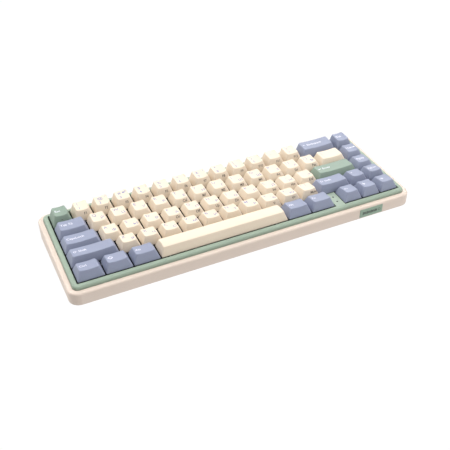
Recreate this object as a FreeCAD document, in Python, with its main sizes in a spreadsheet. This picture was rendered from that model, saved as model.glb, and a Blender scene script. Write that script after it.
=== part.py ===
import FreeCAD, Part
import math
import os

# Compact mechanical keyboard: 67 keys on a 19.05 mm pitch, a tray case, a trim frame, a steel switch
# plate, a circuit board, switches with springs, and four wire stabilisers under the wide keys.
# Every sub-part is drawn in the key-plane frame: X to the right, Y to the back, Z square to the key
# plane, with the origin in the middle of the key grid, at the height of the keycaps' lower edges.
# The common placement at the end tips that frame back by the typing angle and sets the rubber feet
# on Z = 0. All lengths are in millimetres.

os.makedirs("parts", exist_ok=True)
doc = FreeCAD.newDocument("keyboard")
V = FreeCAD.Vector
UP = V(0, 0, 1)
ALONG_X = V(1, 0, 0)
ALONG_Y = V(0, 1, 0)

# name, value, what it is
SIZES = [
    ("pitch", 19.05, "key pitch, the common 0.75 inch"),
    ("columns", 16, "width of the key grid in pitches"),
    ("rows", 5, "depth of the key grid in pitches"),
    ("typing_angle", 4, "slope of the key plane, degrees"),
    ("case_margin", 9.5, "outer wall of the case outside the key grid"),
    ("seam_margin", 5.0, "inner wall of the case outside the key grid"),
    ("ledge_margin", 1.5, "inner edge of the ledge that carries the plate"),
    ("rim_level", -2.9, "top of the case rim"),
    ("front_base_level", -15.3, "underside of the case at the front face"),
    ("case_corner", 9.5, "plan radius of the case corners"),
    ("rim_round", 2.0, "rounding of the case rim"),
    ("base_round", 1.6, "rounding of the lower edge"),
    ("floor_thickness", 1.8, "case floor"),
    ("trim_outer", 4.8, "trim frame's outside, outside the key grid"),
    ("trim_inner", 0.6, "trim frame's inside, outside the key grid"),
    ("trim_level", 0.4, "top of the trim frame"),
    ("trim_corner", 5.0, "plan radius of the trim frame"),
    ("trim_round", 2.3, "rounding of the trim frame's outer top edge"),
    ("plate_top", -6.4, "top of the switch plate"),
    ("plate_thickness", 1.5, "switch plate"),
    ("board_top", -11.4, "top of the circuit board"),
    ("board_thickness", 1.6, "circuit board"),
    ("key_gap", 0.89, "gap between the lower edges of two keycaps"),
    ("cap_wall", 1.4, "keycap side wall"),
    ("cap_roof", 1.15, "keycap roof under the middle of the dish"),
    ("cap_side_inset", 3.25, "how far each side leans in"),
    ("dish_depth", 0.65, "depth of the finger dish"),
    ("number_front_inset", 4.25, "number row, lean of the front"),
    ("number_back_inset", 0.9, "number row, lean of the back"),
    ("number_front_height", 9.6, "number row, height of the front edge"),
    ("number_back_height", 9.75, "number row, height of the back edge"),
    ("upper_front_inset", 4.15, "upper letter row"),
    ("upper_back_inset", 1.0, "upper letter row"),
    ("upper_front_height", 7.75, "upper letter row"),
    ("upper_back_height", 7.45, "upper letter row"),
    ("home_front_inset", 4.0, "home row"),
    ("home_back_inset", 0.9, "home row"),
    ("home_front_height", 7.15, "home row"),
    ("home_back_height", 5.85, "home row"),
    ("lower_front_inset", 3.7, "two lower rows"),
    ("lower_back_inset", 1.65, "two lower rows"),
    ("lower_front_height", 8.65, "two lower rows"),
    ("lower_back_height", 6.5, "two lower rows"),
    ("post_dia", 5.5, "post inside a keycap"),
    ("post_level", 0.3, "lower end of the posts"),
    ("socket_depth", 3.8, "cross socket in a post"),
    ("cross_span", 4.0, "cross on a switch stem or stabiliser insert"),
    ("cross_thickness", 1.15, "thickness of the cross"),
    ("stem_x", 7.0, "slider of a switch, along X"),
    ("stem_y", 5.5, "slider of a switch, along Y"),
    ("stem_length", 5.0, "slider of a switch"),
    ("switch_body", 13.8, "switch body below the plate, square"),
    ("switch_flange", 15.0, "flange on the plate, square"),
    ("switch_top", 0.2, "top of the switch body"),
    ("switch_post_dia", 3.9, "locating post under a switch"),
    ("spring_outer", 4.9, "outside of a switch spring"),
    ("spring_wire", 0.35, "wire of a switch spring"),
    ("stab_reach_short", 11.938, "stabiliser insert from the key's middle, 2 and 2.25 pitches"),
    ("stab_reach_long", 50.0, "stabiliser insert from the middle of the space bar"),
    ("wire_dia", 1.4, "stabiliser wire"),
    ("wire_arm", 8.9, "stabiliser wire's arm"),
    ("wire_pivot_y", -8.4, "long bar of the wire, in front of the key's middle"),
    ("wire_pivot_z", -5.2, "long bar of the wire"),
    ("key_travel", 4.0, "key travel"),
    ("screw_margin", 2.7, "screws outside the key grid"),
    ("screw_dia", 2.0, "screw shank"),
    ("screw_head_dia", 4.0, "screw head"),
    ("screw_seat", -13.6, "upper face of the screw heads"),
    ("foot_length", 34.0, "rubber foot"),
    ("foot_width", 9.0, "rubber foot"),
    ("foot_height", 1.5, "rubber foot"),
    ("foot_recess", 0.5, "recess that holds a foot"),
    ("port_x", -104.0, "middle of the cable inlet"),
    ("port_width", 8.94, "inlet shell"),
    ("port_height", 3.2, "inlet shell"),
    ("port_length", 7.5, "inlet shell"),
    ("badge_x", 118.3, "middle of the badge on the front face"),
    ("badge_width", 24.0, "badge"),
    ("badge_height", 8.7, "badge"),
    ("badge_thickness", 0.9, "badge"),
    ("badge_level", -9.4, "middle of the badge"),
    ("lamp_dia", 1.8, "indicator lamp"),
]
sheet = doc.addObject("Spreadsheet::Sheet", "dims")
for line, (alias, value, note) in enumerate(SIZES, 1):
    sheet.set("A%d" % line, alias)
    sheet.set("B%d" % line, str(value))
    sheet.setAlias("B%d" % line, alias)
    sheet.set("C%d" % line, note)
doc.recompute()


def size(alias):
    return float(getattr(sheet, alias))


PITCH = size("pitch")
HALF_X = size("columns") * PITCH / 2
HALF_Y = size("rows") * PITCH / 2
SLOPE = math.tan(math.radians(size("typing_angle")))
BOARD_BOTTOM = size("board_top") - size("board_thickness")
PLATE_BOTTOM = size("plate_top") - size("plate_thickness")


def base_level(y):
    """Underside of the case at a given Y, in the key-plane frame."""
    return size("front_base_level") - (y + HALF_Y + size("case_margin")) * SLOPE


# ---------------------------------------------------------------- building blocks


def block(name, x, y, z, at=(0, 0, 0)):
    """A box centred on `at` in X and Y and standing on it in Z. Sizes may be expressions."""
    box = doc.addObject("Part::Box", name)
    box.setExpression("Length", str(x))
    box.setExpression("Width", str(y))
    box.setExpression("Height", str(z))
    box.setExpression("Placement.Base.x", "%s - (%s) / 2" % (at[0], x))
    box.setExpression("Placement.Base.y", "%s - (%s) / 2" % (at[1], y))
    box.setExpression("Placement.Base.z", str(at[2]))
    return box


def rod(name, diameter, length, at=(0, 0, 0), along=UP):
    """A cylinder that starts at `at` and runs along `along`. Sizes may be expressions."""
    item = doc.addObject("Part::Cylinder", name)
    item.Placement.Rotation = FreeCAD.Rotation(UP, along)
    item.setExpression("Radius", "(%s) / 2" % diameter)
    item.setExpression("Height", str(length))
    for axis, value in zip("xyz", at):
        item.setExpression("Placement.Base." + axis, str(value))
    return item


def ball(name, diameter, at):
    item = doc.addObject("Part::Sphere", name)
    item.setExpression("Radius", "(%s) / 2" % diameter)
    item.Placement.Base = V(*at)
    return item


def taper(name, low, high, z_low, z_high):
    """A wedge between two centred rectangles, (x, y) at z_low and (x, y) at z_high."""
    item = doc.addObject("Part::Wedge", name)
    item.Placement.Rotation = FreeCAD.Rotation(ALONG_X, 90)
    item.Ymin, item.Ymax = z_low, z_high
    item.Xmin, item.Xmax = -low[0] / 2, low[0] / 2
    item.Zmin, item.Zmax = -low[1] / 2, low[1] / 2
    item.X2min, item.X2max = -high[0] / 2, high[0] / 2
    item.Z2min, item.Z2max = -high[1] / 2, high[1] / 2
    return item


def fuse(name, items):
    item = doc.addObject("Part::MultiFuse", name)
    item.Shapes = items
    return item


def group(name, items, placement=FreeCAD.Placement()):
    """Separate solids that stay separate."""
    item = doc.addObject("Part::Compound", name)
    item.Links = items
    item.Placement = placement
    return item


def cut(name, base, tools):
    item = doc.addObject("Part::Cut", name)
    item.Base = base
    item.Tool = tools[0] if len(tools) == 1 else group(name + "_tools", tools)
    return item


def placed(name, item, x, y, z=0):
    return group(name, [item], FreeCAD.Placement(V(x, y, z), FreeCAD.Rotation()))


# ---------------------------------------------------------------- sketches in bodies


def plane(body, role):
    return [p for p in body.Origin.OriginFeatures if p.Role == role][0]


def sketch(body, name, role="XY_Plane", offset=FreeCAD.Placement()):
    item = body.newObject("Sketcher::SketchObject", name)
    item.AttachmentSupport = [(plane(body, role), "")]
    item.MapMode = "FlatFace"
    item.AttachmentOffset = offset
    return item


def draw_polygon(item, points):
    for a, b in zip(points, points[1:] + points[:1]):
        item.addGeometry(Part.LineSegment(V(a[0], a[1], 0), V(b[0], b[1], 0)), False)
    return item


def draw_circles(item, centres, radius):
    for x, y in centres:
        item.addGeometry(Part.Circle(V(x, y, 0), UP, radius), False)
    return item


def draw_rounded(item, half_x, half_y, radius, middle=(0, 0)):
    """A rectangle with round corners."""
    corners = [(1, -1, -90), (1, 1, 0), (-1, 1, 90), (-1, -1, 180)]
    arcs = []
    for sx, sy, start in corners:
        x = middle[0] + sx * (half_x - radius)
        y = middle[1] + sy * (half_y - radius)
        circle = Part.Circle(V(x, y, 0), UP, radius)
        first = math.radians(start)
        arcs.append(Part.ArcOfCircle(circle, first, first + math.pi / 2))
    for this, following in zip(arcs, arcs[1:] + arcs[:1]):
        item.addGeometry(this, False)
        gap = this.EndPoint.distanceToPoint(following.StartPoint)
        if gap > 1e-6:
            item.addGeometry(Part.LineSegment(this.EndPoint, following.StartPoint), False)
    return item


def pad(body, name, profile, length, symmetric=False, reverse=False):
    item = body.newObject("PartDesign::Pad", name)
    item.Profile = profile
    if symmetric:
        item.SideType = "Symmetric"
    item.Reversed = reverse
    item.setExpression("Length", str(length))
    return item


def pocket(body, name, profile, length, symmetric=False, reverse=False):
    item = body.newObject("PartDesign::Pocket", name)
    item.Profile = profile
    if symmetric:
        item.SideType = "Symmetric"
    item.Reversed = reverse
    item.setExpression("Length", str(length))
    return item


def round_edges(body, name, base, wanted, radius):
    """Rounds the edges of `base` for which wanted(edge) is true."""
    doc.recompute()
    names = ["Edge%d" % n for n, edge in enumerate(base.Shape.Edges, 1) if wanted(edge)]
    item = body.newObject("PartDesign::Fillet", name)
    item.Base = (base, names)
    item.setExpression("Radius", str(radius))
    doc.recompute()
    return item


def at_height(z):
    """Tells whether an edge lies wholly at the height z."""
    return lambda edge: abs(edge.BoundBox.ZMin - z) < 1e-3 and abs(edge.BoundBox.ZMax - z) < 1e-3


# ---------------------------------------------------------------- the layout

# node, profile, row from the back, [(left edge, width) in pitches of each key that it holds]
LAYOUT = [
    ("key_escape", "number", 0, [(0, 1)]),
    ("keys_1_2", "number", 0, [(1, 1), (2, 1)]),
    ("keys_3_4", "number", 0, [(3, 1), (4, 1)]),
    ("keys_5_6", "number", 0, [(5, 1), (6, 1)]),
    ("keys_7_8", "number", 0, [(7, 1), (8, 1)]),
    ("keys_9_0", "number", 0, [(9, 1), (10, 1)]),
    ("keys_minus_equals", "number", 0, [(11, 1), (12, 1)]),
    ("key_backspace", "number", 0, [(13, 2)]),
    ("key_column_1", "number", 0, [(15, 1)]),
    ("key_tab", "upper", 1, [(0, 1.5)]),
    ("keys_q_w", "upper", 1, [(1.5, 1), (2.5, 1)]),
    ("keys_e_r", "upper", 1, [(3.5, 1), (4.5, 1)]),
    ("keys_t_y", "upper", 1, [(5.5, 1), (6.5, 1)]),
    ("keys_u_i", "upper", 1, [(7.5, 1), (8.5, 1)]),
    ("keys_o_p", "upper", 1, [(9.5, 1), (10.5, 1)]),
    ("keys_brackets", "upper", 1, [(11.5, 1), (12.5, 1)]),
    ("key_backslash", "upper", 1, [(13.5, 1.5)]),
    ("key_column_2", "upper", 1, [(15, 1)]),
    ("key_caps_lock", "home", 2, [(0, 1.75)]),
    ("keys_a_s", "home", 2, [(1.75, 1), (2.75, 1)]),
    ("keys_d_f", "home", 2, [(3.75, 1), (4.75, 1)]),
    ("keys_g_h", "home", 2, [(5.75, 1), (6.75, 1)]),
    ("keys_j_k", "home", 2, [(7.75, 1), (8.75, 1)]),
    ("keys_l_semicolon_quote", "home", 2, [(9.75, 1), (10.75, 1), (11.75, 1)]),
    ("key_enter", "home", 2, [(12.75, 2.25)]),
    ("key_column_3", "home", 2, [(15, 1)]),
    ("key_left_shift", "lower", 3, [(0, 2.25)]),
    ("keys_z_x", "lower", 3, [(2.25, 1), (3.25, 1)]),
    ("keys_c_v", "lower", 3, [(4.25, 1), (5.25, 1)]),
    ("keys_b_n", "lower", 3, [(6.25, 1), (7.25, 1)]),
    ("keys_m_comma", "lower", 3, [(8.25, 1), (9.25, 1)]),
    ("keys_period_slash", "lower", 3, [(10.25, 1), (11.25, 1)]),
    ("key_right_shift", "lower", 3, [(12.25, 1.75)]),
    ("key_up", "lower", 3, [(14, 1)]),
    ("key_column_4", "lower", 3, [(15, 1)]),
    ("key_left_control", "lower", 4, [(0, 1.25)]),
    ("key_system", "lower", 4, [(1.25, 1.25)]),
    ("key_left_alt", "lower", 4, [(2.5, 1.25)]),
    ("key_space", "lower", 4, [(3.75, 6.25)]),
    ("key_right_alt", "lower", 4, [(10, 1.25)]),
    ("key_function", "lower", 4, [(11.25, 1.25)]),
    ("key_left", "lower", 4, [(13, 1)]),
    ("key_down", "lower", 4, [(14, 1)]),
    ("key_right", "lower", 4, [(15, 1)]),
]


def key_middle(row, left, width):
    return (left + width / 2) * PITCH - HALF_X, HALF_Y - (row + 0.5) * PITCH


def reach(width):
    """How far a key's stabiliser inserts stand from its middle, or None."""
    if width > 3:
        return size("stab_reach_long")
    return size("stab_reach_short") if width >= 2 else None


SWITCHES = [
    key_middle(row, left, width)
    for _, _, row, keys in LAYOUT
    for left, width in keys
]
# node of the wire, middle of its key, reach
STABILISED = [
    (node.replace("key_", "wire_"), key_middle(row, left, width), reach(width))
    for node, _, row, keys in LAYOUT
    for left, width in keys
    if reach(width)
]

# ---------------------------------------------------------------- switches and stabilisers

STEM_TOP = size("switch_top") - 0.1
STEM_FOOT = STEM_TOP - size("stem_length")


def cross(name, x, z, span="dims.cross_span", thin="dims.cross_thickness", tall="dims.socket_depth - 0.1"):
    along = block(name + "_along", span, thin, tall, (x, 0, z))
    across = block(name + "_across", thin, span, tall, (x, 0, z))
    return [along, across]


def switch_stem():
    slider = block("slider", "dims.stem_x", "dims.stem_y", "dims.stem_length", (0, 0, STEM_FOOT))
    pole = rod("slider_pole", 3, 2, (0, 0, STEM_FOOT - 1.7))
    return fuse("switch_stem", [slider, pole] + cross("slider_cross", 0, STEM_TOP))


def switch_body():
    """The switch's two snapped shells, as one: body, flange, tapered top, well and locating post."""
    flange_top = size("plate_top") + 1
    lower = block(
        "switch_lower", "dims.switch_body", "dims.switch_body", "dims.plate_top - dims.board_top",
        (0, 0, "dims.board_top"),
    )
    flange = block(
        "switch_rim", "dims.switch_flange", "dims.switch_flange", 1, (0, 0, "dims.plate_top")
    )
    upper = taper("switch_upper", (13.6, 13.6), (9.6, 8.8), flange_top, size("switch_top"))
    post = rod("switch_post", "dims.switch_post_dia", 3, (0, 0, "dims.board_top - 2.8"))
    shell = fuse("switch_shell", [lower, flange, upper, post])
    well = block(
        "switch_well", "dims.stem_x + 0.4", "dims.stem_y + 0.4", 12, (0, 0, "dims.board_top + 0.5")
    )
    return cut("switch_body", shell, [well])


def spring():
    """The coil, drawn as a plain sleeve between the well's floor and the slider."""
    floor = size("board_top") + 0.5
    outside = rod("spring_outside", "dims.spring_outer", STEM_FOOT - floor, (0, 0, floor))
    inside = rod(
        "spring_inside", "dims.spring_outer - 2 * dims.spring_wire", STEM_FOOT - floor, (0, 0, floor)
    )
    return cut("spring", outside, [inside])


def stabiliser_insert(name):
    """The sliding insert: a column with a cross on top and a slot that takes the wire's arm."""
    foot = size("wire_pivot_z") - 1.2
    column = block(name + "_column", 5.4, 6, "dims.post_level - 0.1 - %s" % foot, (0, 0, foot))
    slot_middle = size("wire_pivot_z") + size("key_travel") / 2
    slot = block(name + "_slot", 2, 4.6, 3.2, (0, -0.8, slot_middle - 1.6))
    body = fuse(name + "_body", [column] + cross(name + "_cross", 0, size("post_level") - 0.3))
    return cut(name, body, [slot])


def stabiliser_housing(name, inboard):
    """The frame that guides an insert. `inboard` is -1 or 1, the side that clips the long bar."""
    bottom = size("board_top") + 0.4
    top = size("plate_top") + 4.2
    frame = block(name + "_frame", 7, 12.4, top - bottom, (0, 0, bottom))
    clip = block(name + "_clip", 2.2, 3.6, 2.2, (inboard * 2.4, -7.6, "dims.plate_top + 0.05"))
    well = block(name + "_well", 5.8, 6.4, 12, (0, 0, bottom + 0.4))
    slot = block(name + "_slot", 2.4, 4, 12, (0, -4.8, "dims.plate_top - 1.6"))
    bar = rod(
        name + "_bar", "dims.wire_dia + 0.2", 12,
        (-6, "dims.wire_pivot_y", "dims.wire_pivot_z"), ALONG_X,
    )
    return cut(name, fuse(name + "_shell", [frame, clip]), [well, slot, bar])


def stabiliser_wire(name, half):
    """Long bar and two arms, drawn about the bar's axis with the arms lifted by half the swing."""
    bar = rod(name + "_bar", "dims.wire_dia", 2 * half, (-half, 0, 0), ALONG_X)
    parts = [bar]
    for side in (-1, 1):
        end = name + ("_left" if side < 0 else "_right")
        parts.append(rod(end, "dims.wire_dia", "dims.wire_arm", (side * half, 0, 0), ALONG_Y))
        parts.append(ball(end + "_bend", "dims.wire_dia", (side * half, 0, 0)))
    return fuse(name, parts)


# ---------------------------------------------------------------- keycaps


def keycap(profile, width):
    """A hollow cap: slanted sides, tilted dished top, posts with cross sockets."""
    name = "cap_%s_%d" % (profile, round(width * 100))
    body = doc.addObject("PartDesign::Body", name)
    half_x = (width * PITCH - size("key_gap")) / 2
    half_y = (PITCH - size("key_gap")) / 2
    side = size("cap_side_inset")
    front = -half_y + size(profile + "_front_inset")
    back = half_y - size(profile + "_back_inset")
    front_z = size(profile + "_front_height")
    back_z = size(profile + "_back_height")
    tilt = FreeCAD.Rotation(ALONG_X, math.degrees(math.atan2(back_z - front_z, back - front)))
    top = FreeCAD.Placement(V(0, (front + back) / 2, (front_z + back_z) / 2), tilt)
    length = math.hypot(back - front, back_z - front_z)
    crowned = width > 3
    dish = size("dish_depth")

    # outside
    foot = draw_rounded(sketch(body, name + "_foot"), half_x, half_y, 0.9)
    lift = FreeCAD.Placement(V(0, 0, 1.2 if crowned else 0), FreeCAD.Rotation())
    head = draw_rounded(
        sketch(body, name + "_head", offset=lift.multiply(top)), half_x - side, length / 2, 1.7
    )
    outside = body.newObject("PartDesign::AdditiveLoft", name + "_outside")
    outside.Profile = foot
    outside.Sections = [head]
    outside.Ruled = True
    if crowned:
        # the space bar's top is arched from front to back
        side_view = sketch(body, name + "_crown_line", "YZ_Plane")
        a = V(front - 1, front_z - 0.55, 0)
        b = V(back + 1, back_z - 0.55, 0)
        crest = V((front + back) / 2, (front_z + back_z) / 2 + 0.9, 0)
        side_view.addGeometry(Part.Arc(a, crest, b), False)
        side_view.addGeometry(Part.LineSegment(b, V(b.x, 14, 0)), False)
        side_view.addGeometry(Part.LineSegment(V(b.x, 14, 0), V(a.x, 14, 0)), False)
        side_view.addGeometry(Part.LineSegment(V(a.x, 14, 0), a), False)
        shaped = pocket(body, name + "_crown", side_view, "dims.pitch * 8", symmetric=True)
        doc.recompute()
        curve = [f for f in shaped.Shape.Faces if isinstance(f.Surface, Part.Cylinder) and f.Surface.Radius > 5]
    else:
        radius = ((half_x - side) ** 2 + dish**2) / (2 * dish)
        shaped = body.newObject("PartDesign::SubtractiveCylinder", name + "_dish")
        shaped.Radius = radius
        shaped.Height = 2 * PITCH
        shaped.Placement = FreeCAD.Placement(
            top.multVec(V(0, -PITCH, radius - dish)),
            tilt.multiply(FreeCAD.Rotation(ALONG_X, -90)),
        )
        doc.recompute()
        curve = [
            f for f in shaped.Shape.Faces
            if isinstance(f.Surface, Part.Cylinder) and abs(f.Surface.Radius - radius) < 1e-3
        ]
    rim = round_edges(
        body, name + "_rim", shaped, lambda e: any(e.isSame(r) for f in curve for r in f.Edges), 0.7
    )

    # inside
    wall = size("cap_wall")
    roof = dish + size("cap_roof")
    near = (front_z - roof) / front_z
    far = (back_z - roof) / back_z
    inner_front = -half_y + size(profile + "_front_inset") * near + wall
    inner_back = half_y - size(profile + "_back_inset") * far - wall
    inner_length = math.hypot(inner_back - inner_front, back_z - front_z)
    ceiling = FreeCAD.Placement(
        V(0, (inner_front + inner_back) / 2, (front_z + back_z) / 2 - roof), tilt
    )
    mouth = draw_rounded(sketch(body, name + "_mouth"), half_x - wall, half_y - wall, 0.8)
    lid = draw_rounded(
        sketch(body, name + "_lid", offset=ceiling),
        half_x - side * max(near, far) - wall, inner_length / 2, 0.8,
    )
    hollow = body.newObject("PartDesign::SubtractiveLoft", name + "_hollow")
    hollow.Profile = mouth
    hollow.Sections = [lid]
    hollow.Ruled = True

    # posts with cross sockets
    ends = [0] if reach(width) is None else [0, -reach(width), reach(width)]
    middle_z = (front_z + back_z) / 2 - roof
    for n, x in enumerate(ends):
        post = body.newObject("PartDesign::AdditiveCylinder", "%s_post_%d" % (name, n))
        post.setExpression("Radius", "dims.post_dia / 2")
        post.setExpression("Height", "%s - dims.post_level" % (middle_z + 0.6))
        post.Placement.Base = V(x, 0, size("post_level"))
        for turn, (long, thin) in enumerate([(4.12, 1.27), (1.27, 4.12)]):
            socket = body.newObject("PartDesign::SubtractiveBox", "%s_socket_%d_%d" % (name, n, turn))
            socket.Length = long
            socket.Width = thin
            socket.setExpression("Height", "dims.socket_depth")
            socket.Placement.Base = V(x - long / 2, -thin / 2, size("post_level"))
    return body


# ---------------------------------------------------------------- case, trim, plate and board

SCREWS = [
    (x, side * (HALF_Y + size("screw_margin")))
    for side in (-1, 1)
    for x in (-85, 0, 85)
]
LAMPS = [(242.9 - HALF_X, y - HALF_Y) for y in (12.5, 5.3)]
FEET = [(x, y) for y in (-46, 46) for x in (-127, 127)]


def bottom_case():
    body = doc.addObject("PartDesign::Body", "case_solid")
    half_x = HALF_X + size("case_margin")
    half_y = HALF_Y + size("case_margin")
    top = size("rim_level")

    side_view = sketch(body, "case_side", "YZ_Plane")
    draw_polygon(
        side_view,
        [(-half_y, top), (-half_y, base_level(-half_y)), (half_y, base_level(half_y)), (half_y, top)],
    )
    block_out = pad(body, "case_block", side_view, 2 * half_x, symmetric=True)
    corners = round_edges(
        body, "case_corners", block_out,
        lambda e: e.BoundBox.XLength < 1e-3 and e.BoundBox.YLength < 1e-3, "dims.case_corner",
    )
    rim = round_edges(body, "case_rim", corners, at_height(top), "dims.rim_round")
    round_edges(body, "case_lower_edge", rim, on_base, "dims.base_round")

    # the well for the trim frame and plate, and the deeper one for the board
    seam_x = HALF_X + size("seam_margin")
    seam_y = HALF_Y + size("seam_margin")
    above = FreeCAD.Placement(V(0, 0, top + 1), FreeCAD.Rotation())
    mouth = sketch(body, "case_mouth", offset=above)
    draw_rounded(mouth, seam_x, seam_y, size("trim_corner") + 0.2)
    pocket(body, "case_upper_well", mouth, top + 1 - PLATE_BOTTOM)
    ledge_x = HALF_X + size("ledge_margin")
    ledge_y = HALF_Y + size("ledge_margin")
    floor = size("floor_thickness")
    well = sketch(body, "case_well_side", "YZ_Plane")
    draw_polygon(
        well,
        [
            (-ledge_y, PLATE_BOTTOM + 1), (-ledge_y, base_level(-ledge_y) + floor),
            (ledge_y, base_level(ledge_y) + floor), (ledge_y, PLATE_BOTTOM + 1),
        ],
    )
    pocket(body, "case_lower_well", well, 2 * ledge_x, symmetric=True)

    # screw wells from below, and the screws' clearance holes above them
    seat = FreeCAD.Placement(V(0, 0, size("screw_seat")), FreeCAD.Rotation())
    heads = draw_circles(sketch(body, "case_screw_wells", offset=seat), SCREWS, size("screw_head_dia") / 2 + 0.2)
    pocket(body, "case_head_wells", heads, 20)
    shanks = draw_circles(sketch(body, "case_screw_holes", offset=seat), SCREWS, size("screw_dia") / 2 + 0.15)
    pocket(body, "case_shank_holes", shanks, 12, reverse=True)

    # recesses for the feet, square to the sloping underside
    for n, (x, y) in enumerate(FEET):
        under = FreeCAD.Placement(
            V(x, y, base_level(y)), FreeCAD.Rotation(ALONG_X, -size("typing_angle"))
        )
        outline = sketch(body, "foot_outline_%d" % n, offset=under)
        draw_rounded(outline, size("foot_length") / 2 + 0.1, size("foot_width") / 2 + 0.1, size("foot_width") / 2)
        pocket(body, "foot_recess_%d" % n, outline, "dims.foot_recess", reverse=True)

    # cable inlet: a recess for the plug's shroud, then a close hole for the port
    level = BOARD_BOTTOM - size("port_height") / 2
    recess = sketch(
        body, "inlet_recess_outline", "XZ_Plane",
        FreeCAD.Placement(V(0, 0, -(half_y - 5)), FreeCAD.Rotation()),
    )
    draw_rounded(recess, 6.6, 3.7, 1.5, (size("port_x"), level))
    pocket(body, "inlet_recess", recess, 8)
    hole = sketch(
        body, "inlet_hole_outline", "XZ_Plane",
        FreeCAD.Placement(V(0, 0, -(HALF_Y - 1)), FreeCAD.Rotation()),
    )
    draw_rounded(hole, 4.65, 1.78, 1.7, (size("port_x"), level))
    pocket(body, "inlet_hole", hole, 12)

    # shallow recess for the badge on the front face
    badge = sketch(
        body, "badge_recess_outline", "XZ_Plane",
        FreeCAD.Placement(V(0, 0, half_y), FreeCAD.Rotation()),
    )
    draw_rounded(
        badge, size("badge_width") / 2 + 0.1, size("badge_height") / 2 + 0.1, 0.8,
        (size("badge_x"), size("badge_level")),
    )
    pocket(body, "badge_recess", badge, 0.5)
    return body


def on_base(edge):
    """Tells whether an edge lies on the case's sloping underside."""
    return all(abs(v.Z - base_level(v.Y)) < 1e-3 for v in edge.Vertexes)


def top_frame():
    body = doc.addObject("PartDesign::Body", "trim_solid")
    foot = size("plate_top")
    height = size("trim_level") - foot
    low = FreeCAD.Placement(V(0, 0, foot), FreeCAD.Rotation())
    high = FreeCAD.Placement(V(0, 0, size("trim_level")), FreeCAD.Rotation())
    outer = sketch(body, "trim_outline", offset=low)
    draw_rounded(
        outer, HALF_X + size("trim_outer"), HALF_Y + size("trim_outer"), size("trim_corner")
    )
    slab = pad(body, "trim_slab", outer, height)
    rounded = round_edges(body, "trim_rounding", slab, at_height(size("trim_level")), "dims.trim_round")
    inner = sketch(body, "trim_opening", offset=high)
    inner_x = HALF_X + size("trim_inner")
    inner_y = HALF_Y + size("trim_inner")
    draw_rounded(inner, inner_x, inner_y, 1)
    opening = pocket(body, "trim_window", inner, height + 1)
    round_edges(
        body, "trim_inner_edge", opening,
        lambda e: at_height(size("trim_level"))(e)
        and abs(e.BoundBox.XMin) < inner_x + 0.01
        and abs(e.BoundBox.YMin) < inner_y + 0.01,
        0.4,
    )
    # the filler beside the arrow keys, with its two lamp holes
    left = 238.3 - HALF_X
    right = 247.5 - HALF_X
    filler = sketch(body, "filler_outline", offset=low)
    draw_polygon(
        filler,
        [
            (left, -inner_y - 0.5), (right, -inner_y - 0.5),
            (right, 18.8 - HALF_Y), (left, 18.8 - HALF_Y),
        ],
    )
    pad(body, "filler", filler, height)
    lamps = draw_circles(sketch(body, "lamp_holes_outline", offset=high), LAMPS, size("lamp_dia") / 2 + 0.05)
    pocket(body, "lamp_holes", lamps, height + 1)
    threads = draw_circles(sketch(body, "trim_screw_outline", offset=low), SCREWS, size("screw_dia") / 2 + 0.03)
    pocket(body, "trim_screw_holes", threads, 3.4, reverse=True)
    return body


def badge_plate():
    body = doc.addObject("PartDesign::Body", "badge_solid")
    behind = HALF_Y + size("case_margin") - 0.5
    outline = sketch(
        body, "badge_outline", "XZ_Plane", FreeCAD.Placement(V(0, 0, behind), FreeCAD.Rotation())
    )
    draw_rounded(
        outline, size("badge_width") / 2, size("badge_height") / 2, 0.7,
        (size("badge_x"), size("badge_level")),
    )
    slab = pad(body, "badge_slab", outline, "dims.badge_thickness")
    front = -behind - size("badge_thickness")
    round_edges(
        body, "badge_edge", slab,
        lambda e: abs(e.BoundBox.YMin - front) < 1e-3 and abs(e.BoundBox.YMax - front) < 1e-3, 0.3,
    )
    return body


def switch_plate():
    outer = doc.addObject("PartDesign::Body", "plate_blank")
    outline = sketch(outer, "plate_outline", offset=FreeCAD.Placement(V(0, 0, PLATE_BOTTOM), FreeCAD.Rotation()))
    draw_rounded(outline, HALF_X + 4.6, HALF_Y + 4.6, size("trim_corner"))
    pad(outer, "plate_slab", outline, "dims.plate_thickness")
    window = block("switch_window", 14, 14, 4, (0, 0, PLATE_BOTTOM - 1))
    tools = [placed("window_%d" % n, window, x, y) for n, (x, y) in enumerate(SWITCHES)]
    slot = block("stabiliser_window", 7.4, 13.6, 4, (0, 0, PLATE_BOTTOM - 1))
    for node, (x, y), half in STABILISED:
        for side in (-1, 1):
            tools.append(placed("%s_window_%d" % (node, side), slot, x + side * half, y))
    for n, (x, y) in enumerate(SCREWS):
        tools.append(rod("plate_screw_hole_%d" % n, "dims.screw_dia + 0.4", 4, (x, y, PLATE_BOTTOM - 1)))
    return cut("plate_solid", outer, tools)


def circuit_board():
    outer = block(
        "board_blank", 2 * HALF_X - 1, 2 * HALF_Y - 1, "dims.board_thickness", (0, 0, BOARD_BOTTOM)
    )
    hole = rod("board_hole", "dims.switch_post_dia + 0.2", 4, (0, 0, BOARD_BOTTOM - 1))
    tools = [placed("board_hole_%d" % n, hole, x, y) for n, (x, y) in enumerate(SWITCHES)]
    return cut("board_solid", outer, tools)


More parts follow.
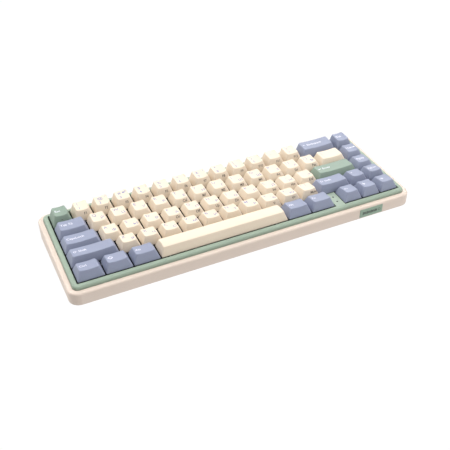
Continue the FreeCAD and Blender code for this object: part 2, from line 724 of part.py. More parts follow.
def port():
    """The cable inlet's metal shell with its tongue."""
    back = HALF_Y + size("case_margin") - 5.2
    front = back - size("port_length")
    level = BOARD_BOTTOM - size("port_height") / 2
    body = doc.addObject("PartDesign::Body", "port_solid")
    outline = sketch(
        body, "port_outline", "XZ_Plane", FreeCAD.Placement(V(0, 0, -front), FreeCAD.Rotation())
    )
    x = size("port_x")
    draw_rounded(outline, size("port_width") / 2, size("port_height") / 2 - 0.01, 1.5, (x, level))
    pad(body, "port_block", outline, "dims.port_length", reverse=True)
    mouth = sketch(
        body, "port_mouth_outline", "XZ_Plane",
        FreeCAD.Placement(V(0, 0, -(front + 1)), FreeCAD.Rotation()),
    )
    draw_rounded(mouth, size("port_width") / 2 - 0.3, size("port_height") / 2 - 0.31, 1.2, (x, level))
    pocket(body, "port_mouth", mouth, 10)
    tongue = sketch(
        body, "port_tongue_outline", "XZ_Plane",
        FreeCAD.Placement(V(0, 0, -(front + 0.5)), FreeCAD.Rotation()),
    )
    draw_rounded(tongue, 3.3, 0.35, 0.1, (x, level))
    pad(body, "port_tongue", tongue, 6, reverse=True)
    return body


def screw():
    head = rod("screw_head", "dims.screw_head_dia", 1.5, (0, 0, "dims.screw_seat - 1.5"))
    shank = rod("screw_shank", "dims.screw_dia", 10.2, (0, 0, "dims.screw_seat"))
    drive = block("screw_drive", 2.4, 0.5, 1, (0, 0, "dims.screw_seat - 1.8"))
    drive_across = block("screw_drive_across", 0.5, 2.4, 1, (0, 0, "dims.screw_seat - 1.8"))
    return cut("screw", fuse("screw_blank", [head, shank]), [drive, drive_across])


def foot():
    """A pad with round ends, standing on its own underside."""
    width = size("foot_width")
    straight = size("foot_length") - width
    middle = block("foot_middle", straight, width, "dims.foot_height")
    ends = [
        rod("foot_end_%d" % n, "dims.foot_width", "dims.foot_height", (side * straight / 2, 0, 0))
        for n, side in enumerate((-1, 1))
    ]
    return fuse("foot", [middle] + ends)


# ---------------------------------------------------------------- assembly

TIP = FreeCAD.Placement(V(), FreeCAD.Rotation(ALONG_X, size("typing_angle")))
nodes = []


def node(name, items):
    """A sub-part of its own: its solids, its label, and the placement that tips the key plane."""
    item = group(name + "_node", items, TIP)
    item.Label = name
    nodes.append(item)
    return item


node("bottom_case", [bottom_case()])
node("top_frame", [top_frame()])
node("badge_plate", [badge_plate()])
lamp_base = size("trim_level") - 3.2
node(
    "indicator_lamps",
    [rod("lamp_%d" % n, "dims.lamp_dia", 3, (x, y, lamp_base)) for n, (x, y) in enumerate(LAMPS)],
)
node("switch_plate", [switch_plate()])
node("circuit_board", [circuit_board()])

body_shape = switch_body()
spring_shape = spring()
node(
    "switch_housings",
    [placed("housing_%d" % n, body_shape, x, y) for n, (x, y) in enumerate(SWITCHES)],
)
node(
    "switch_springs",
    [placed("spring_%d" % n, spring_shape, x, y) for n, (x, y) in enumerate(SWITCHES)],
)
sides = {-1: stabiliser_housing("stabiliser_left", 1), 1: stabiliser_housing("stabiliser_right", -1)}
node(
    "stabiliser_housings",
    [
        placed("%s_housing_%d" % (wire, side), shape, x + side * half, y)
        for wire, (x, y), half in STABILISED
        for side, shape in sides.items()
    ],
)
node("cable_inlet", [port()])
screw_shape = screw()
node("case_screws", [placed("screw_%d" % n, screw_shape, x, y) for n, (x, y) in enumerate(SCREWS)])
foot_shape = foot()
level_again = FreeCAD.Rotation(ALONG_X, -size("typing_angle"))
drop = size("foot_height") - size("foot_recess")
node(
    "rubber_feet",
    [
        group("foot_%d" % n, [foot_shape], FreeCAD.Placement(
            V(x, y, base_level(y)).add(level_again.multVec(V(0, 0, -drop))), level_again
        ))
        for n, (x, y) in enumerate(FEET)
    ],
)

# stabiliser wires: the arms start half the swing above level
swing = math.degrees(math.asin(size("key_travel") / 2 / size("wire_arm")))
for name, (x, y), half in STABILISED:
    lifted = FreeCAD.Placement(
        V(x, y + size("wire_pivot_y"), size("wire_pivot_z")), FreeCAD.Rotation(ALONG_X, swing)
    )
    node(name, [group(name + "_lifted", [stabiliser_wire(name + "_bent", half)], lifted)])

# keys: each one is its cap and its switch stem, and a wide one has two stabiliser inserts
stem_shape = switch_stem()
insert_shape = stabiliser_insert("insert")
caps = {}
for name, profile, row, keys in LAYOUT:
    items = []
    for n, (left, width) in enumerate(keys):
        if (profile, width) not in caps:
            caps[profile, width] = keycap(profile, width)
        x, y = key_middle(row, left, width)
        items.append(placed("%s_cap_%d" % (name, n), caps[profile, width], x, y))
        items.append(placed("%s_stem_%d" % (name, n), stem_shape, x, y))
        for side in (-1, 1):
            if reach(width):
                items.append(placed("%s_insert_%d" % (name, side), insert_shape, x + side * reach(width), y))
    node(name, items)
doc.recompute()

# the whole keyboard's box is centred over the origin and stands on Z = 0
whole = FreeCAD.BoundBox()
for item in nodes:
    whole.add(item.Shape.optimalBoundingBox(False))
shift = V(-(whole.XMin + whole.XMax) / 2, -(whole.YMin + whole.YMax) / 2, -whole.ZMin)
for item in nodes:
    item.Placement = FreeCAD.Placement(shift, TIP.Rotation)
doc.recompute()

for item in doc.Objects:
    if {"Invalid", "Error"} & set(item.State):
        raise RuntimeError("%s did not build" % item.Name)
for item in nodes:
    shape = item.Shape
    if shape.isNull() or not shape.isValid() or not shape.Solids:
        raise RuntimeError("%s has no valid shape" % item.Label)
    Part.makeCompound(shape.Solids).exportStep("parts/%s.step" % item.Label)
print("%d sub-parts, box %.2f x %.2f x %.2f mm" % (
    len(nodes), whole.XLength, whole.YLength, whole.ZLength
))
print("shift %.4f %.4f %.4f" % tuple(shift))
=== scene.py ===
"""Looks of the compact mechanical keyboard: keycaps with legends, plastics, stage, lights and camera."""
import math

import bmesh
import bpy
from mathutils import Matrix, Vector


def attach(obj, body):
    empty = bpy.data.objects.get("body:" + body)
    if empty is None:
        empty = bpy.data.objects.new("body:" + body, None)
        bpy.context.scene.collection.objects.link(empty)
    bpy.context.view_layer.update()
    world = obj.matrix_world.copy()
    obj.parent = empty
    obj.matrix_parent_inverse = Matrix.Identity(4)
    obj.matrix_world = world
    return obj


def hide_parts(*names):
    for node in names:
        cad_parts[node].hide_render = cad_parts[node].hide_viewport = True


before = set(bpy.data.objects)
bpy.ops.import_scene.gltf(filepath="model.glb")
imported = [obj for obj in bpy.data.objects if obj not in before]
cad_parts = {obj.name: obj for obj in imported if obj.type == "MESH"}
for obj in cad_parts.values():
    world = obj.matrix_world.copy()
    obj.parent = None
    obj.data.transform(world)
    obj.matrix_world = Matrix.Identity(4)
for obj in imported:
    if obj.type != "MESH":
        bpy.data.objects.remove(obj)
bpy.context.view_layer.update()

MM = 0.001
PITCH = 19.05
HALF_X = 8 * PITCH
HALF_Y = 2.5 * PITCH
GAP = 0.89
CASE_MARGIN = 9.5

# the key plane's place and tilt, and the way from its millimetres to the frame's metres
PLANE_Y = -0.7411
PLANE_Z = 20.2476
TYPING_ANGLE = 4
TIP = (
    Matrix.Scale(MM, 4)
    @ Matrix.Translation((0, PLANE_Y, PLANE_Z))
    @ Matrix.Rotation(math.radians(TYPING_ANGLE), 4, "X")
)

# keycap rows: front inset, back inset, front height, back height
PROFILES = {
    "number": (4.25, 0.9, 9.6, 9.75),
    "upper": (4.15, 1.0, 7.75, 7.45),
    "home": (4.0, 0.9, 7.15, 5.85),
    "lower": (3.7, 1.65, 8.65, 6.5),
}
SIDE_INSET = 3.25
DISH = 0.65
ARCH_RISE = 0.9
ARCH_DROP = 0.55
FOOT_CORNER = 0.9
HEAD_CORNER = 1.7
RIM_RADIUS = 0.6
WALL = 1.4
CEILING_WALL = 2.2
MOUTH_EDGE = 0.12
# depth of the hollow's ceiling below the rim line
ROOF = 1.8
POST_RADIUS = 2.7
POST_FOOT = 0.4
POST_SIDES = 24

# legends: letter heights, thickening of the strokes, and how far the ink stands off the cap
LATIN = 3.7
DIGIT = 3.5
CYRILLIC = 3.4
THIRD_SYMBOL = 2.8
WORD = 2.8
ARROW = 3.4
FRONT_WORD = 2.2
STROKE = 0.06
INK_ON_TOP = 0.045
INK_ON_FRONT = 0.025

# node, row profile, row from the back, colour, and its keys. A key has its left edge and width in pitches,
# its top legend, second legend and front legend, and on some a third symbol
KEYS = [
    ("key_escape", "number", 0, "green", [(0, 1, "Esc", "", "~")]),
    ("keys_1_2", "number", 0, "cream", [(1, 1, "!", "1", "F1"), (2, 1, "@", "2", "F2", "\"")]),
    ("keys_3_4", "number", 0, "cream", [(3, 1, "#", "3", "F3", "№"), (4, 1, "$", "4", "F4", ";")]),
    ("keys_5_6", "number", 0, "cream", [(5, 1, "%", "5", "F5"), (6, 1, "^", "6", "F6", ":")]),
    ("keys_7_8", "number", 0, "cream", [(7, 1, "&", "7", "F7", "?"), (8, 1, "*", "8", "F8")]),
    ("keys_9_0", "number", 0, "cream", [(9, 1, "(", "9", "F9"), (10, 1, ")", "0", "F10")]),
    ("keys_minus_equals", "number", 0, "cream", [(11, 1, "_", "-", "F11"), (12, 1, "+", "=", "F12")]),
    ("key_backspace", "number", 0, "blue", [(13, 2, "← Backspace", "", "")]),
    ("key_column_1", "number", 0, "blue", [(15, 1, "Del", "", "")]),
    ("key_tab", "upper", 1, "blue", [(0, 1.5, "Tab ⇆", "", "")]),
    ("keys_q_w", "upper", 1, "cream", [(1.5, 1, "Q", "Й", ""), (2.5, 1, "W", "Ц", "")]),
    ("keys_e_r", "upper", 1, "cream", [(3.5, 1, "E", "У", ""), (4.5, 1, "R", "К", "")]),
    ("keys_t_y", "upper", 1, "cream", [(5.5, 1, "T", "Е", "Cal"), (6.5, 1, "Y", "Н", "M1")]),
    ("keys_u_i", "upper", 1, "cream", [(7.5, 1, "U", "Г", "M2"), (8.5, 1, "I", "Ш", "M3")]),
    ("keys_o_p", "upper", 1, "cream", [(9.5, 1, "O", "Щ", "M4"), (10.5, 1, "P", "З", "Prt")]),
    ("keys_brackets", "upper", 1, "cream", [(11.5, 1, "{ [", "Х", "Scr"), (12.5, 1, "} ]", "Ъ", "Pau")]),
    ("key_backslash", "upper", 1, "cream", [(13.5, 1.5, "|", "\\", "")]),
    ("key_column_2", "upper", 1, "blue", [(15, 1, "Home", "", "")]),
    ("key_caps_lock", "home", 2, "blue", [(0, 1.75, "CapsLock", "", "")]),
    ("keys_a_s", "home", 2, "cream", [(1.75, 1, "A", "Ф", ""), (2.75, 1, "S", "Ы", "")]),
    ("keys_d_f", "home", 2, "cream", [(3.75, 1, "D", "В", ""), (4.75, 1, "F", "А", "On")]),
    ("keys_g_h", "home", 2, "cream", [(5.75, 1, "G", "П", "Off"), (6.75, 1, "H", "Р", "Up")]),
    ("keys_j_k", "home", 2, "cream", [(7.75, 1, "J", "О", "Dn"), (8.75, 1, "K", "Л", "")]),
    ("keys_l_semicolon_quote", "home", 2, "cream", [
        (9.75, 1, "L", "Д", "Ins"), (10.75, 1, ":  ;", "Ж", "Hm"), (11.75, 1, "\"  '", "Э", "End"),
    ]),
    ("key_enter", "home", 2, "green", [(12.75, 2.25, "↵ Enter", "", "")]),
    ("key_column_3", "home", 2, "blue", [(15, 1, "PgUp", "", "")]),
    ("key_left_shift", "lower", 3, "blue", [(0, 2.25, "⇧ Shift", "", "")]),
    ("keys_z_x", "lower", 3, "cream", [(2.25, 1, "Z", "Я", ""), (3.25, 1, "X", "Ч", "")]),
    ("keys_c_v", "lower", 3, "cream", [(4.25, 1, "C", "С", ""), (5.25, 1, "V", "М", "")]),
    ("keys_b_n", "lower", 3, "cream", [(6.25, 1, "B", "И", ""), (7.25, 1, "N", "Т", "")]),
    ("keys_m_comma", "lower", 3, "cream", [(8.25, 1, "M", "Ь", ""), (9.25, 1, "<  ,", "Б", "V-")]),
    ("keys_period_slash", "lower", 3, "cream", [
        (10.25, 1, ">  .", "Ю", "V+"), (11.25, 1, "?  /", ",", "Mute"),
    ]),
    ("key_right_shift", "lower", 3, "blue", [(12.25, 1.75, "⇧ Shift", "", "")]),
    ("key_up", "lower", 3, "blue", [(14, 1, "↑", "", "")]),
    ("key_column_4", "lower", 3, "blue", [(15, 1, "PgDn", "", "")]),
    ("key_left_control", "lower", 4, "blue", [(0, 1.25, "Ctrl", "", "")]),
    ("key_system", "lower", 4, "blue", [(1.25, 1.25, "◇", "", "")]),
    ("key_left_alt", "lower", 4, "blue", [(2.5, 1.25, "Alt", "", "")]),
    ("key_space", "lower", 4, "cream", [(3.75, 6.25, "", "", "")]),
    ("key_right_alt", "lower", 4, "blue", [(10, 1.25, "Alt", "", "")]),
    ("key_function", "lower", 4, "blue", [(11.25, 1.25, "Fn", "", "")]),
    ("key_left", "lower", 4, "blue", [(13, 1, "←", "", "")]),
    ("key_down", "lower", 4, "blue", [(14, 1, "↓", "", "")]),
    ("key_right", "lower", 4, "blue", [(15, 1, "→", "", "")]),
]


# ---------------------------------------------------------------- materials


def linear(value):
    value /= 255
    return value / 12.92 if value <= 0.04045 else ((value + 0.055) / 1.055) ** 2.4


def noise(tree, place, scale, detail):
    texture = tree.nodes.new("ShaderNodeTexNoise")
    texture.inputs["Scale"].default_value = scale
    texture.inputs["Detail"].default_value = detail
    tree.links.new(place, texture.inputs["Vector"])
    return texture.outputs["Fac"]


def blend(tree, factor):
    mix = tree.nodes.new("ShaderNodeMix")
    mix.data_type = "RGBA"
    tree.links.new(factor, mix.inputs["Factor"])
    return mix


def plastic(name, colour, roughness=0.5, grain=0.12, mottle=0.04, edge_highlight=0.12, metallic=0.0):
    """Moulded surface: fine grain in the bump, slow colour drift, uneven gloss, and a painted highlight that
    lightens sharp edges.
    """
    mat = bpy.data.materials.new(name)
    mat.use_nodes = True
    tree = mat.node_tree
    nodes, links = tree.nodes, tree.links
    shader = nodes["Principled BSDF"]
    shader.inputs["Metallic"].default_value = metallic
    shader.inputs["Specular IOR Level"].default_value = 0.5
    base = [linear(c) for c in colour]
    place = nodes.new("ShaderNodeTexCoord").outputs["Object"]

    tone = blend(tree, noise(tree, place, 38, 5))
    tone.inputs["A"].default_value = [c * (1 - mottle) for c in base] + [1]
    tone.inputs["B"].default_value = [min(1, c * (1 + mottle)) for c in base] + [1]

    # painted highlight: sharp convex edges (high pointiness) are lightened towards white, in place of light
    # catching the edges
    edge = nodes.new("ShaderNodeNewGeometry")
    ramp = nodes.new("ShaderNodeMapRange")
    ramp.inputs["From Min"].default_value = 0.52
    ramp.inputs["From Max"].default_value = 0.62
    ramp.inputs["To Max"].default_value = edge_highlight
    links.new(edge.outputs["Pointiness"], ramp.inputs["Value"])
    highlighted_edge = blend(tree, ramp.outputs["Result"])
    highlighted_edge.inputs["B"].default_value = [c + (1 - c) * 0.5 for c in base] + [1]
    links.new(tone.outputs["Result"], highlighted_edge.inputs["A"])
    links.new(highlighted_edge.outputs["Result"], shader.inputs["Base Color"])

    bump = nodes.new("ShaderNodeBump")
    bump.inputs["Strength"].default_value = grain
    bump.inputs["Distance"].default_value = 0.00005
    links.new(noise(tree, place, 5200, 2), bump.inputs["Height"])
    links.new(bump.outputs["Normal"], shader.inputs["Normal"])

    rough = nodes.new("ShaderNodeMapRange")
    rough.inputs["To Min"].default_value = roughness - 0.06
    rough.inputs["To Max"].default_value = roughness + 0.06
    links.new(noise(tree, place, 160, 3), rough.inputs["Value"])
    links.new(rough.outputs["Result"], shader.inputs["Roughness"])
    return mat


CAPS = {
    "cream": plastic("cap_cream", (214, 199, 179)),
    "blue": plastic("cap_blue", (131, 137, 158)),
    "green": plastic("cap_green", (125, 142, 129)),
}
CASE = plastic("case_beige", (207, 191, 178))
TRIM = plastic("trim_green", (139, 155, 138))
BADGE = plastic("badge_green", (134, 156, 138))
INK = {
    "lavender": plastic("ink_lavender", (128, 132, 166), grain=0.05, edge_highlight=0),
    "white": plastic("ink_white", (220, 220, 230), grain=0.05, edge_highlight=0),
    "brown": plastic("ink_brown", (84, 74, 70), grain=0.05, edge_highlight=0),
    "dark": plastic("ink_dark", (34, 42, 38), grain=0.05, edge_highlight=0),
}
PLATE = plastic("plate_black", (24, 23, 25), roughness=0.6, grain=0.3, edge_highlight=0.02)
SWITCH = plastic("switch_black", (22, 22, 24), roughness=0.4, edge_highlight=0.03)
BOARD = plastic("board_green", (22, 48, 34), roughness=0.4, edge_highlight=0.02)
STEEL = plastic("steel", (170, 170, 172), roughness=0.32, metallic=1.0, edge_highlight=0.1)
RUBBER = plastic("rubber_black", (40, 40, 41), roughness=0.8, grain=0.3, edge_highlight=0.04)
LAMP = plastic("lamp_smoke", (12, 12, 13), roughness=0.45, edge_highlight=0)

CAD_LOOKS = {
    "bottom_case": CASE,
    "top_frame": TRIM,
    "badge_plate": BADGE,
    "indicator_lamps": LAMP,
    "switch_plate": PLATE,
    "circuit_board": BOARD,
    "switch_housings": SWITCH,
    "stabiliser_housings": SWITCH,
    "switch_springs": STEEL,
    "cable_inlet": STEEL,
    "case_screws": STEEL,
    "wire_backspace": STEEL,
    "wire_enter": STEEL,
    "wire_left_shift": STEEL,
    "wire_space": STEEL,
    "rubber_feet": RUBBER,
}
for name, look in CAD_LOOKS.items():
    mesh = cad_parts[name].data
    mesh.materials.clear()
    mesh.materials.append(look)


# ---------------------------------------------------------------- keycap shape


def outline(half_x, half_y, radius, across, deep, turn=6):
    """Points round a rounded rectangle and their outward directions, anticlockwise from the front right."""
    points = []
    corners = [(1, -1, -90, deep), (1, 1, 0, across), (-1, 1, 90, deep), (-1, -1, 180, across)]
    for n, (sx, sy, start, steps) in enumerate(corners):
        cx, cy = sx * (half_x - radius), sy * (half_y - radius)
        for k in range(turn + 1):
            a = math.radians(start + 90 * k / turn)
            points.append((cx + radius * math.cos(a), cy + radius * math.sin(a), math.cos(a), math.sin(a)))
        nx, ny, following, _ = corners[(n + 1) % 4]
        a = math.radians(start + 90)
        x0, y0 = points[-1][:2]
        b = math.radians(following)
        x1 = nx * (half_x - radius) + radius * math.cos(b)
        y1 = ny * (half_y - radius) + radius * math.sin(b)
        for k in range(1, steps):
            f = k / steps
            points.append((x0 + (x1 - x0) * f, y0 + (y1 - y0) * f, math.cos(a), math.sin(a)))
    return points


class Cap:
    """A keycap's shape in its own frame, in millimetres, standing on z = 0."""

    def __init__(self, profile, width):
        front_inset, back_inset, self.front_z, self.back_z = PROFILES[profile]
        self.half_x = (width * PITCH - GAP) / 2
        self.half_y = (PITCH - GAP) / 2
        self.front = -self.half_y + front_inset
        self.back = self.half_y - back_inset
        self.top_x = self.half_x - SIDE_INSET
        self.arched = width > 3
        self.radius = (self.top_x**2 + DISH**2) / (2 * DISH)
        if self.arched:
            a = (self.front - 1, self.front_z - ARCH_DROP)
            b = ((self.front + self.back) / 2, (self.front_z + self.back_z) / 2 + ARCH_RISE)
            c = (self.back + 1, self.back_z - ARCH_DROP)
            self.arch = circle_through(a, b, c)

    def plane(self, y):
        """Height of the flat rim line at a given y."""
        return self.front_z + (y - self.front) * (self.back_z - self.front_z) / (self.back - self.front)

    def top(self, x, y):
        """Height of the finished top: arched on the space bar, dished on the others."""
        if self.arched:
            cy, cz, r = self.arch
            return cz + math.sqrt(max(0.0, r * r - (y - cy) ** 2))
        x = min(abs(x), self.top_x + 1)
        return self.plane(y) - DISH + self.radius - math.sqrt(self.radius**2 - x * x)

    def face(self, x, z):
        """Y of the front face at a given height."""
        return -self.half_y + (self.front + self.half_y) * z / self.front_z

    def rings(self):
        """Closed rings of points from the ceiling inside, round the mouth, up the sides and over the top."""
        across = 40 if self.arched else 8
        deep = 6
        # the sides lean towards a head a little above the arch
        lift = 1.2 if self.arched else 0
        foot = outline(self.half_x, self.half_y, FOOT_CORNER, across, deep)
        head = outline(self.top_x, (self.back - self.front) / 2, HEAD_CORNER, across, deep)
        middle = (self.front + self.back) / 2
        low, high, dirs = [], [], []
        for (bx, by, _, _), (hx, hy, ux, uy) in zip(foot, head):
            low.append(Vector((bx, by, 0)))
            high.append(Vector((hx, hy + middle, self.plane(hy + middle) + lift)))
            dirs.append(Vector((ux, uy, 0)))
        rim = []
        for b, h in zip(low, high):
            t = 1.0
            for _ in range(8):
                p = b.lerp(h, t)
                t += (self.top(p.x, p.y) - p.z) / (h.z - b.z)
            rim.append(b.lerp(h, t))
        side, over = [], []
        for b, e, u in zip(low, rim, dirs):
            side.append(e + (b - e).normalized() * RIM_RADIUS)
            q = e - u * RIM_RADIUS
            over.append(Vector((q.x, q.y, self.top(q.x, q.y))))
        result = []
        for drop, wall in ((ROOF, CEILING_WALL), (ROOF + 0.5, WALL)):
            result.append([
                b.lerp(e, (self.plane(e.y) - drop) / e.z) - u * wall for b, e, u in zip(low, rim, dirs)
            ])
        for wall in (WALL, MOUTH_EDGE):
            result.append([b - u * wall for b, u in zip(low, dirs)])
        for f in (0.02, 0.1, 0.35, 0.65, 0.93):
            result.append([b.lerp(s, f) for b, s in zip(low, side)])
        for f in (0, 0.2, 0.4, 0.6, 0.8, 1):
            result.append([
                s * (1 - f) ** 2 + e * 2 * f * (1 - f) + o * f**2 for s, e, o in zip(side, rim, over)
            ])
        centre = Vector((0, middle, 0))
        for f in (0.93, 0.8, 0.62, 0.42, 0.2):
            ring = []
            for o in over:
                q = centre + (o - centre) * f
                ring.append(Vector((q.x, q.y, self.top(q.x, q.y))))
            result.append(ring)
        result.append(Vector((0, middle, self.top(0, middle))))
        return result


def circle_through(a, b, c):
    """Centre and radius of the circle through three points."""
    ax, ay, bx, by, cx, cy = *a, *b, *c
    d = 2 * (ax * (by - cy) + bx * (cy - ay) + cx * (ay - by))
    ux = ((ax**2 + ay**2) * (by - cy) + (bx**2 + by**2) * (cy - ay) + (cx**2 + cy**2) * (ay - by)) / d
    uy = ((ax**2 + ay**2) * (cx - bx) + (bx**2 + by**2) * (ax - cx) + (cx**2 + cy**2) * (bx - ax)) / d
    return ux, uy, math.hypot(ax - ux, ay - uy)


def add_cap(bm, cap, x, y):
    """Adds one closed keycap to bm, its middle at (x, y) on the key plane."""
    shift = TIP @ Matrix.Translation((x, y, 0))
    rings = cap.rings()
    lines = [[bm.verts.new(shift @ p) for p in ring] for ring in rings[:-1]]
    count = len(lines[0])
    for n, (a, b) in enumerate(zip(lines, lines[1:])):
        for i in range(count):
            j = (i + 1) % count
            face = bm.faces.new((a[i], a[j], b[j], b[i]))
            face.smooth = n > 2
    tip = bm.verts.new(shift @ rings[-1])
    last = lines[-1]
    for i in range(count):
        face = bm.faces.new((last[i], last[(i + 1) % count], tip))
        face.smooth = True
    bm.faces.new(lines[0][::-1])
    # the post that grips the switch stem, reaching into the ceiling
    post = []
    for level in (POST_FOOT, cap.plane(0) - ROOF + 0.3):
        post.append([
            bm.verts.new(shift @ Vector((POST_RADIUS * math.cos(a), POST_RADIUS * math.sin(a), level)))
            for a in (2 * math.pi * k / POST_SIDES for k in range(POST_SIDES))
        ])
    for i in range(POST_SIDES):
        j = (i + 1) % POST_SIDES
        bm.faces.new((post[0][i], post[0][j], post[1][j], post[1][i]))
    bm.faces.new(post[0][::-1])
    bm.faces.new(post[1])


def finished(bm, name, body, materials):
    """Makes an object of bm that rides on a body."""
    mesh = bpy.data.meshes.new(name)
    bm.normal_update()
    bm.to_mesh(mesh)
    bm.free()
    for m in materials:
        mesh.materials.append(m)
    item = bpy.data.objects.new(name, mesh)
    bpy.context.scene.collection.objects.link(item)
    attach(item, body)
    return item


# ---------------------------------------------------------------- legends


# height of a capital letter in a font of size 1
CAPITAL = 0.73


def glyphs(text, height, place=(0, 0), weight=STROKE):
    """Text as a flat drawing, points in millimetres and faces. place is its left edge and baseline."""
    curve = bpy.data.curves.new("legend_text", "FONT")
    curve.body = text
    curve.size = height / CAPITAL
    curve.offset = weight
    curve.resolution_u = 3
    item = bpy.data.objects.new("legend_text", curve)
    bpy.context.scene.collection.objects.link(item)
    seen = bpy.context.evaluated_depsgraph_get()
    mesh = bpy.data.meshes.new_from_object(item.evaluated_get(seen))
    points = [(v.co.x + place[0], v.co.y + place[1]) for v in mesh.vertices]
    faces = [tuple(p.vertices) for p in mesh.polygons]
    bpy.data.objects.remove(item)
    bpy.data.curves.remove(curve)
    bpy.data.meshes.remove(mesh)
    return points, faces


def text_width(points):
    return max(p[0] for p in points) - min(p[0] for p in points)


def stamp(bm, drawing, lay, ink):
    """Adds a flat drawing to bm, laid on the surface by lay(x, y) and split so that it follows the dish."""
    points, faces = drawing
    part = bmesh.new()
    verts = [part.verts.new((x, y, 0)) for x, y in points]
    for f in faces:
        try:
            part.faces.new([verts[i] for i in f])
        except ValueError:
            pass
    bmesh.ops.triangulate(part, faces=part.faces[:])
    longest = [e for e in part.edges if e.calc_length() > 0.8]
    if longest:
        bmesh.ops.subdivide_edges(part, edges=longest, cuts=2)
    table = {v: bm.verts.new(lay(v.co.x, v.co.y)) for v in part.verts}
    for f in part.faces:
        face = bm.faces.new([table[v] for v in f.verts])
        face.material_index = ink
        face.smooth = True
    part.free()


def barred_ring():
    """The Cyrillic letter that is a ring with an upright bar."""
    points, faces = glyphs("O", CYRILLIC)
    centre = (max(p[0] for p in points) + min(p[0] for p in points)) / 2
    half_bar, past = 0.25, 0.4
    a, b = centre - half_bar, centre + half_bar
    foot, head = -past, CYRILLIC + past
    n = len(points)
    points += [(a, foot), (b, foot), (b, head), (a, head)]
    faces.append((n, n + 1, n + 2, n + 3))
    return points, faces


def moved(drawing, x, y):
    points, faces = drawing
    return [(p[0] + x, p[1] + y) for p in points], faces


def cream_legends(bm, cap, on_top, left, first, second, third):
    paired = second in tuple("0123456789-=\\")
    if first:
        start = left + (1.2 if paired else -0.2)
        stamp(bm, glyphs(first, LATIN, (start, cap.back - 5.6)), on_top, 0)
    if paired:
        stamp(bm, glyphs(second, DIGIT, (left + 1.2, cap.front + 1.6)), on_top, 0)
    if third:
        drawing, level = glyphs(third, THIRD_SYMBOL), cap.back - 4.9
    elif second and not paired:
        drawing, level = barred_ring() if second == "Ф" else glyphs(second, CYRILLIC), cap.front + 1.9
    else:
        return
    right = cap.top_x - 1.0 - max(p[0] for p in drawing[0])
    stamp(bm, moved(drawing, right, level), on_top, 0)


def add_legends(bm, cap, colour, x, y, first, second, front, third=""):
    shift = TIP @ Matrix.Translation((x, y, 0))

    def on_top(u, v):
        return shift @ Vector((u, v, cap.top(u, v) + INK_ON_TOP))

    def on_front(u, v):
        return shift @ Vector((u, cap.face(u, v) - INK_ON_FRONT, v))

    left = -cap.top_x + 1.3
    if colour == "cream":
        cream_legends(bm, cap, on_top, left, first, second, third)
    else:
        size, weight = (WORD, 0.02) if len(first) > 1 else (ARROW, 0.08)
        middle = (cap.front + cap.back) / 2
        points, faces = glyphs(first, size, (left, middle - size / 2 + 0.4), weight)
        narrow = min(1, (2 * cap.top_x - 2.2) / text_width(points))
        stamp(bm, ([(left + (p[0] - left) * narrow, p[1]) for p in points], faces), on_top, 1)
    if front:
        start = 0.4 if colour == "cream" else -1
        stamp(bm, moved(glyphs(front, FRONT_WORD), start, 0.5 * cap.front_z), on_front, 2)


# ---------------------------------------------------------------- keys

for node, profile, row, colour, keys in KEYS:
    shape = bmesh.new()
    marks = bmesh.new()
    for left, width, *words in keys:
        cap = Cap(profile, width)
        x = (left + width / 2) * PITCH - HALF_X
        y = HALF_Y - (row + 0.5) * PITCH
        add_cap(shape, cap, x, y)
        add_legends(marks, cap, colour, x, y, *words)
    piece = finished(shape, "cap_" + node, node, [CAPS[colour]])
    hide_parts(node)
    if marks.faces:
        finished(marks, "legend_" + node, node, [INK["lavender"], INK["white"], INK["brown"]])
    else:
        marks.free()

# a plain generic mark on the badge: a run of short bars and a ring
BADGE_X = 118.3
BADGE_Z = -9.4
BADGE_THICK = 0.9
BADGE_RECESS = 0.5
MARK_GAP = 0.02
BADGE_FACE = -(HALF_Y + CASE_MARGIN - BADGE_RECESS + BADGE_THICK + MARK_GAP)
BARS = 11
BAR_PITCH = 1.42
BAR_WIDTH = 0.95
RING_X = 8.4
RING_SIDES = 24
mark = bmesh.new()


def mark_face(points):
    mark.faces.new([mark.verts.new(TIP @ Vector((BADGE_X + x, BADGE_FACE, BADGE_Z + z))) for x, z in points])


for k in range(BARS):
    x0 = -9.2 + BAR_PITCH * k
    x1 = x0 + BAR_WIDTH
    tall = 1.6 if k % 3 == 0 else 1.2
    mark_face([(x0, -tall), (x1, -tall), (x1, tall), (x0, tall)])
for k in range(RING_SIDES):
    a, b = (2 * math.pi * n / RING_SIDES for n in (k, k + 1))
    ends = ((1.0, a), (1.35, a), (1.35, b), (1.0, b))
    mark_face([(RING_X + r * math.cos(t), r * math.sin(t)) for r, t in ends])
finished(mark, "badge_mark", "housing", [INK["dark"]])

# ---------------------------------------------------------------- stage, light, camera

FLOOR = 9
WHITE_LEVEL = 1.02
OVERHEAD_LEVEL = 0.05

scene = bpy.context.scene
scene.view_settings.view_transform = "Standard"
floor_mesh = bpy.data.meshes.new("floor")
corners = [(-FLOOR, -FLOOR, 0), (FLOOR, -FLOOR, 0), (FLOOR, FLOOR, 0), (-FLOOR, FLOOR, 0)]
floor_mesh.from_pydata(corners, [], [(0, 1, 2, 3)])
floor = bpy.data.objects.new("floor", floor_mesh)
floor.location.z = -0.0003
scene.collection.objects.link(floor)
white = bpy.data.materials.new("stage_white")
white.use_nodes = True
white.node_tree.nodes.clear()
glow = white.node_tree.nodes.new("ShaderNodeEmission")
glow.inputs["Strength"].default_value = WHITE_LEVEL
sink = white.node_tree.nodes.new("ShaderNodeOutputMaterial")
white.node_tree.links.new(glow.outputs["Emission"], sink.inputs["Surface"])
floor_mesh.materials.append(white)

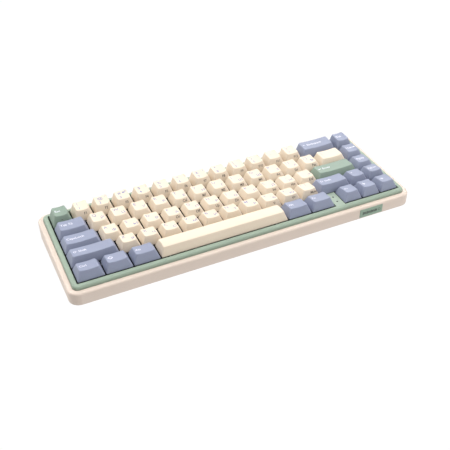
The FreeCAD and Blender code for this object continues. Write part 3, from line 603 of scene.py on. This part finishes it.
# pale all round the horizon, darker overhead
world = bpy.data.worlds.new("surround")
world.use_nodes = True
sky, sky_links = world.node_tree.nodes, world.node_tree.links
sky["Background"].inputs["Color"].default_value = (1, 1, 1, 1)
toward = sky.new("ShaderNodeTexCoord")
split = sky.new("ShaderNodeSeparateXYZ")
fade = sky.new("ShaderNodeMapRange")
fade.interpolation_type = "SMOOTHSTEP"
fade.inputs["From Min"].default_value = 0.1
fade.inputs["From Max"].default_value = 0.35
fade.inputs["To Min"].default_value = WHITE_LEVEL
fade.inputs["To Max"].default_value = OVERHEAD_LEVEL
sky_links.new(toward.outputs["Generated"], split.inputs["Vector"])
sky_links.new(split.outputs["Z"], fade.inputs["Value"])
sky_links.new(fade.outputs["Result"], sky["Background"].inputs["Strength"])
scene.world = world


def panel(name, place, size, power):
    """A soft rectangular light aimed at the middle of the keyboard."""
    light = bpy.data.lights.new(name, "AREA")
    light.shape = "RECTANGLE"
    light.size, light.size_y = size
    light.energy = power
    item = bpy.data.objects.new(name, light)
    item.location = place
    item.rotation_euler = (-Vector(place)).to_track_quat("-Z", "Y").to_euler()
    scene.collection.objects.link(item)


panel("over_panel", (0.0, 0.0, 1.2), (1.2, 1.0), 17.8)
panel("back_panel", (0.3, 0.85, 0.65), (1.2, 0.7), 3.4)
panel("back_left_panel", (-0.85, 0.75, 0.75), (0.8, 0.8), 9.8)
panel("back_right_panel", (0.85, 0.75, 0.75), (0.8, 0.8), 4.4)
panel("front_right_panel", (0.85, -0.75, 0.65), (0.8, 0.8), 7.1)

camera = bpy.data.cameras.new("camera")
camera.sensor_width = 36
camera.lens = 58.48
camera.clip_start = 0.01
view = bpy.data.objects.new("camera", camera)
# seen from the front left, turned to the right, looking down, and slightly rolled
view.matrix_world = (
    Matrix.Translation((-0.2194, -0.5109, 0.3828))
    @ Matrix.Rotation(math.radians(-22.995), 4, "Z")
    @ Matrix.Rotation(math.radians(90 - 34.930), 4, "X")
    @ Matrix.Rotation(math.radians(-2.710), 4, "Z")
)
scene.collection.objects.link(view)
scene.camera = view
